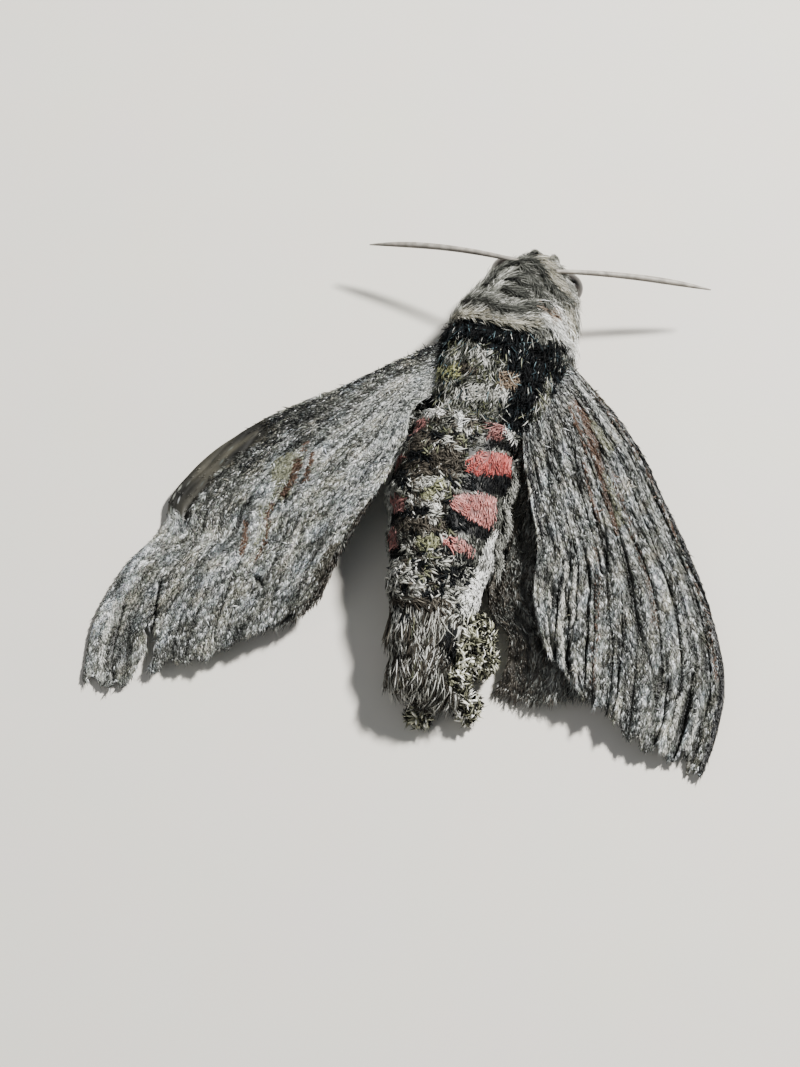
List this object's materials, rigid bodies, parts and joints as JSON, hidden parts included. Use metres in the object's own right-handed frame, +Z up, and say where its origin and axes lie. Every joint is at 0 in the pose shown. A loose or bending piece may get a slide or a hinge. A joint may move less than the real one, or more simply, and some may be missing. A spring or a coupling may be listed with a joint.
{
  "type": "hawk moth",
  "caption": "Life-size resting hawk moth with swept-back worn wings, furry thorax, banded abdomen, feelers and legs.",
  "frame": {"origin": "middle of the flat on the underside of the thorax, on the floor the moth rests on", "axes": "+Z up, +Y towards the head, +X towards the moth's right wing"},
  "size_m": [0.062, 0.0572, 0.0122],
  "materials": {
    "body_fur": "matte, long soft hair-scales",
    "abdomen_scales": "matte, grey with rose and black bands",
    "wing_scales": "matte, worn grey scales on a thin membrane",
    "hindwing_scales": "matte, pale grey-brown scales",
    "leg_horn": "satin horn with grey scales",
    "antenna_horn": "matte, pale scales above",
    "eye_black": "glossy, finely faceted"
  },
  "bodies": {
    "root": {"abdomen": "abdomen_scales", "abdomen_tip": "abdomen_scales", "antenna_left": "antenna_horn", "antenna_right": "antenna_horn", "eye_left": "eye_black", "eye_right": "eye_black", "foreleg_left": "leg_horn", "foreleg_right": "leg_horn", "forewing_left": "wing_scales", "forewing_right": "wing_scales", "head": "body_fur", "hindleg_left": "leg_horn", "hindleg_right": "leg_horn", "hindwing_left": "hindwing_scales", "hindwing_right": "hindwing_scales", "midleg_left": "leg_horn", "midleg_right": "leg_horn", "palp_left": "body_fur", "palp_right": "body_fur", "proboscis": "leg_horn", "tail_clump": "abdomen_scales", "thorax": "body_fur"}
  },
  "joints": []
}
